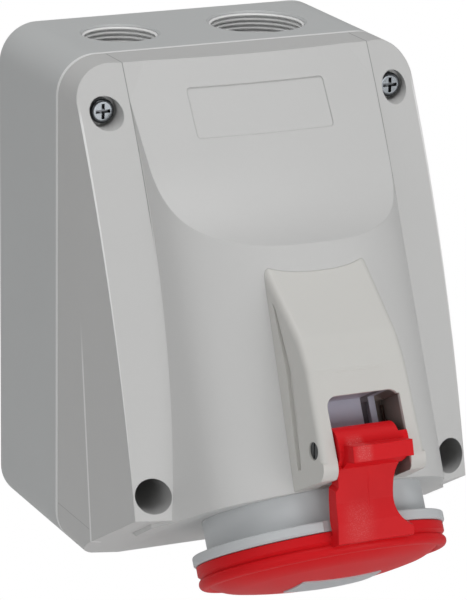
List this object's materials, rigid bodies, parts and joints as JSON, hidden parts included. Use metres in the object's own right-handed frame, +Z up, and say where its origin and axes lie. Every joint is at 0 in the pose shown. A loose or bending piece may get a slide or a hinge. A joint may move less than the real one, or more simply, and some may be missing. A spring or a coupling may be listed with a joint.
{
  "type": "industrial wall socket",
  "caption": "Wall-mounted industrial power socket: grey two-part housing, slanting round mouth, red sprung lid on a hinge bracket, threaded cable entries on top.",
  "frame": {"origin": "centre of the back face, on the wall", "axes": "+X to the right seen from the front, -Y out of the wall, +Z up"},
  "size_m": [0.119, 0.1714, 0.1731],
  "materials": {
    "box_grey": "light grey moulded plastic",
    "cover_grey": "light grey moulded plastic",
    "shroud_grey": "cool grey moulded plastic",
    "carrier_grey": "dark grey moulded plastic",
    "lid_red": "red moulded plastic",
    "seal_black": "soft black rubber",
    "zinc": "zinc-plated steel",
    "spring_steel": "spring wire",
    "plate_silver": "matt silver foil",
    "contact_brass": "turned brass"
  },
  "bodies": {
    "housing": {"back_box": "box_grey", "box_gasket": "seal_black", "front_cover": "cover_grey", "cover_screws": "zinc", "screw_seals": "seal_black", "socket_shroud": "shroud_grey", "insert_gasket": "seal_black", "insert_retainer": "carrier_grey", "contact_carrier": "carrier_grey", "carrier_rear": "carrier_grey", "carrier_screws": "zinc", "terminal_screws": "zinc", "contact_l1": "contact_brass", "contact_l2": "contact_brass", "contact_l3": "contact_brass", "contact_neutral": "contact_brass", "contact_earth": "contact_brass", "hinge_bracket": "cover_grey", "bracket_screws": "zinc", "hinge_pin": "zinc", "pin_clip": "zinc", "lid_spring": "spring_steel"},
    "lid": {"lid": "lid_red", "lid_seal": "seal_black", "lid_plate": "plate_silver"}
  },
  "joints": [
    {"name": "lid_hinge", "type": "hinge", "parent": "housing", "child": "lid", "pos_m": [0, -0.1584, -0.0207], "axis": [-1, 0, 0], "range_deg": [0, 105], "stiffness_Nm_per_rad": 0.03, "springref_deg": -114.59, "deforming": ["lid_spring"]}
  ]
}
